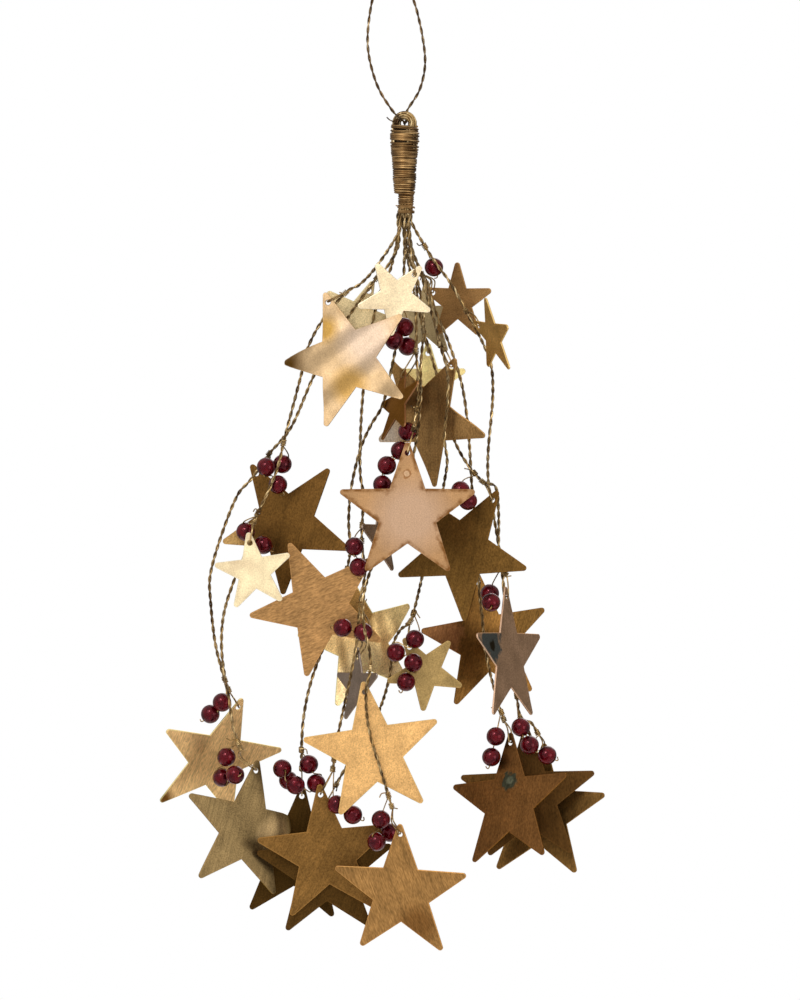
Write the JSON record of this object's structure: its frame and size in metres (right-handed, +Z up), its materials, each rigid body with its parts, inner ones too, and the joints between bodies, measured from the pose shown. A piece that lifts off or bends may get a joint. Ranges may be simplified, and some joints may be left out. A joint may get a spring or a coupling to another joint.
{
  "type": "beaded star cluster",
  "caption": "Hanging ornament of sheet-brass stars and dark red glass beads on twisted wire strands below a wound wire neck and a hanging loop.",
  "frame": {"origin": "inside top of the hanging loop, where a hook carries it", "axes": "+Z up, +X to the right as seen from the front, the front faces -Y"},
  "size_m": [0.1514, 0.0572, 0.3317],
  "materials": {
    "star_brass": "brushed sheet, patchily darkened",
    "wire_brass": "drawn wire, dulled",
    "binding_brass": "drawn wire",
    "bead_glass": "dark red pressed glass"
  },
  "bodies": {
    "loop": {"hanging_loop": "wire_brass"},
    "cluster": {"neck_core": "wire_brass", "binding_wire": "binding_brass", "strand_a": "wire_brass", "strand_b": "wire_brass", "strand_c": "wire_brass", "strand_d": "wire_brass", "strand_e": "wire_brass", "strand_f": "wire_brass", "strand_g": "wire_brass", "strand_h": "wire_brass", "strand_i": "wire_brass", "strand_j": "wire_brass", "bead_sprig_01": "bead_glass", "bead_sprig_02": "bead_glass", "bead_sprig_03": "bead_glass", "bead_sprig_04": "bead_glass", "bead_sprig_05": "bead_glass", "bead_sprig_06": "bead_glass", "bead_sprig_07": "bead_glass", "bead_sprig_08": "bead_glass", "bead_sprig_09": "bead_glass", "bead_sprig_10": "bead_glass", "bead_sprig_11": "bead_glass", "bead_sprig_12": "bead_glass", "bead_sprig_13": "bead_glass", "bead_sprig_14": "bead_glass", "bead_sprig_15": "bead_glass", "bead_sprig_16": "bead_glass", "bead_sprig_17": "bead_glass"},
    "star_01_body": {"star_01": "star_brass"},
    "star_02_body": {"star_02": "star_brass"},
    "star_03_body": {"star_03": "star_brass"},
    "star_04_body": {"star_04": "star_brass"},
    "star_05_body": {"star_05": "star_brass"},
    "star_06_body": {"star_06": "star_brass"},
    "star_07_body": {"star_07": "star_brass"},
    "star_08_body": {"star_08": "star_brass"},
    "star_09_body": {"star_09": "star_brass"},
    "star_10_body": {"star_10": "star_brass"},
    "star_11_body": {"star_11": "star_brass"},
    "star_12_body": {"star_12": "star_brass"},
    "star_13_body": {"star_13": "star_brass"},
    "star_14_body": {"star_14": "star_brass"},
    "star_15_body": {"star_15": "star_brass"},
    "star_16_body": {"star_16": "star_brass"},
    "star_17_body": {"star_17": "star_brass"},
    "star_18_body": {"star_18": "star_brass"},
    "star_19_body": {"star_19": "star_brass"},
    "star_20_body": {"star_20": "star_brass"},
    "star_21_body": {"star_21": "star_brass"},
    "star_22_body": {"star_22": "star_brass"},
    "star_23_body": {"star_23": "star_brass"},
    "star_24_body": {"star_24": "star_brass"},
    "star_25_body": {"star_25": "star_brass"},
    "star_26_body": {"star_26": "star_brass"},
    "star_27_body": {"star_27": "star_brass"},
    "star_28_body": {"star_28": "star_brass"},
    "star_29_body": {"star_29": "star_brass"},
    "star_30_body": {"star_30": "star_brass"}
  },
  "joints": [
    {"name": "cluster_swing", "type": "hinge", "parent": "loop", "child": "cluster", "pos_m": [0.004, 0, -0.05], "axis": [0, 1, 0], "range_deg": [-45, 45]},
    {"name": "star_01_swing", "type": "hinge", "parent": "cluster", "child": "star_01_body", "pos_m": [0.0075, -0.0115, -0.1013], "axis": [-0.2696, 0.9403, 0.2079], "range_deg": [-12, 12]},
    {"name": "star_02_swing", "type": "hinge", "parent": "cluster", "child": "star_02_body", "pos_m": [-0.008, -0.006, -0.1068], "axis": [0, 1, 0], "range_deg": [-12, 12]},
    {"name": "star_03_swing", "type": "hinge", "parent": "cluster", "child": "star_03_body", "pos_m": [-0.022, -0.0135, -0.1108], "axis": [0.2406, 0.965, -0.1045], "range_deg": [-12, 12]},
    {"name": "star_04_swing", "type": "hinge", "parent": "cluster", "child": "star_04_body", "pos_m": [0.0135, 0.0125, -0.1073], "axis": [0.4688, 0.8817, 0.0523], "range_deg": [-20, 20]},
    {"name": "star_05_swing", "type": "hinge", "parent": "cluster", "child": "star_05_body", "pos_m": [0.029, -0.0015, -0.1188], "axis": [0.8721, 0.4253, 0.2419], "range_deg": [-20, 20]},
    {"name": "star_06_swing", "type": "hinge", "parent": "cluster", "child": "star_06_body", "pos_m": [0.0115, 0.017, -0.1063], "axis": [0.5, 0.866, 0], "range_deg": [-12, 12]},
    {"name": "star_07_swing", "type": "hinge", "parent": "cluster", "child": "star_07_body", "pos_m": [0.012, 0.0125, -0.1278], "axis": [-0.1045, 0.9945, 0], "range_deg": [-12, 12]},
    {"name": "star_08_swing", "type": "hinge", "parent": "cluster", "child": "star_08_body", "pos_m": [0.0035, -0.004, -0.1363], "axis": [0.8638, 0.3846, -0.3256], "range_deg": [-12, 12]},
    {"name": "star_09_swing", "type": "hinge", "parent": "cluster", "child": "star_09_body", "pos_m": [0.02, -0.0115, -0.1328], "axis": [0.5538, 0.821, 0.1392], "range_deg": [-6, 10]},
    {"name": "star_10_swing", "type": "hinge", "parent": "cluster", "child": "star_10_body", "pos_m": [-0.0465, 0.0065, -0.1688], "axis": [0.342, 0.9395, -0.0175], "range_deg": [-20, 20]},
    {"name": "star_11_swing", "type": "hinge", "parent": "cluster", "child": "star_11_body", "pos_m": [-0.0485, -0.011, -0.1923], "axis": [0, 1, 0], "range_deg": [-20, 20]},
    {"name": "star_12_swing", "type": "hinge", "parent": "cluster", "child": "star_12_body", "pos_m": [-0.01, -0.0065, -0.2003], "axis": [0.1043, 0.9921, 0.0698], "range_deg": [-20, 20]},
    {"name": "star_13_swing", "type": "hinge", "parent": "cluster", "child": "star_13_body", "pos_m": [0.005, -0.021, -0.1618], "axis": [0, 1, 0], "range_deg": [-20, 20]},
    {"name": "star_14_swing", "type": "hinge", "parent": "cluster", "child": "star_14_body", "pos_m": [0.034, -0.0055, -0.1778], "axis": [0.309, 0.9511, 0], "range_deg": [-6, 4]},
    {"name": "star_15_swing", "type": "hinge", "parent": "cluster", "child": "star_15_body", "pos_m": [-0.004, -0.004, -0.1808], "axis": [-0.866, 0.5, 0], "range_deg": [-5, 5]},
    {"name": "star_16_swing", "type": "hinge", "parent": "cluster", "child": "star_16_body", "pos_m": [0.029, 0.015, -0.2058], "axis": [-0.3744, 0.9266, 0.0349], "range_deg": [-20, 20]},
    {"name": "star_17_swing", "type": "hinge", "parent": "cluster", "child": "star_17_body", "pos_m": [0.0385, -0.004, -0.2108], "axis": [-0.8808, 0.4683, -0.0698], "range_deg": [-12, 8]},
    {"name": "star_18_swing", "type": "hinge", "parent": "cluster", "child": "star_18_body", "pos_m": [-0.015, 0.013, -0.2058], "axis": [-0.4383, 0.8987, -0.0175], "range_deg": [-20, 20]},
    {"name": "star_19_swing", "type": "hinge", "parent": "cluster", "child": "star_19_body", "pos_m": [0.0055, 0.0005, -0.2278], "axis": [-0.1378, 0.9806, -0.1392], "range_deg": [-20, 20]},
    {"name": "star_20_swing", "type": "hinge", "parent": "cluster", "child": "star_20_body", "pos_m": [-0.012, -0.003, -0.2313], "axis": [0.848, 0.5299, 0], "range_deg": [-20, 20]},
    {"name": "star_21_swing", "type": "hinge", "parent": "cluster", "child": "star_21_body", "pos_m": [-0.0095, -0.018, -0.2428], "axis": [0, 1, 0], "range_deg": [-12, 12]},
    {"name": "star_22_swing", "type": "hinge", "parent": "cluster", "child": "star_22_body", "pos_m": [-0.0525, -0.001, -0.2483], "axis": [-0.3834, 0.7861, 0.4848], "range_deg": [-15, 10]},
    {"name": "star_23_swing", "type": "hinge", "parent": "cluster", "child": "star_23_body", "pos_m": [-0.0465, 0, -0.2698], "axis": [-0.4216, 0.9041, -0.0698], "range_deg": [-12, 12]},
    {"name": "star_24_swing", "type": "hinge", "parent": "cluster", "child": "star_24_body", "pos_m": [-0.031, 0.017, -0.2788], "axis": [0, 1, 0], "range_deg": [-15, 10]},
    {"name": "star_25_swing", "type": "hinge", "parent": "cluster", "child": "star_25_body", "pos_m": [-0.0245, -0.0095, -0.2778], "axis": [-0.0521, 0.9948, 0.0872], "range_deg": [-12, 12]},
    {"name": "star_26_swing", "type": "hinge", "parent": "cluster", "child": "star_26_body", "pos_m": [-0.024, -0.0045, -0.2833], "axis": [0, 1, 0], "range_deg": [-20, 20]},
    {"name": "star_27_swing", "type": "hinge", "parent": "cluster", "child": "star_27_body", "pos_m": [0.0025, -0.027, -0.2908], "axis": [0.2511, 0.9372, 0.2419], "range_deg": [-20, 20]},
    {"name": "star_28_swing", "type": "hinge", "parent": "cluster", "child": "star_28_body", "pos_m": [0.04, -0.005, -0.2603], "axis": [0.5489, 0.8138, -0.1908], "range_deg": [-12, 12]},
    {"name": "star_29_swing", "type": "hinge", "parent": "cluster", "child": "star_29_body", "pos_m": [0.0455, 0.007, -0.2583], "axis": [0.1218, 0.9919, -0.0349], "range_deg": [-20, 20]},
    {"name": "star_30_swing", "type": "hinge", "parent": "cluster", "child": "star_30_body", "pos_m": [0.0515, 0.014, -0.2643], "axis": [0.3407, 0.9361, -0.0872], "range_deg": [-20, 20]}
  ]
}
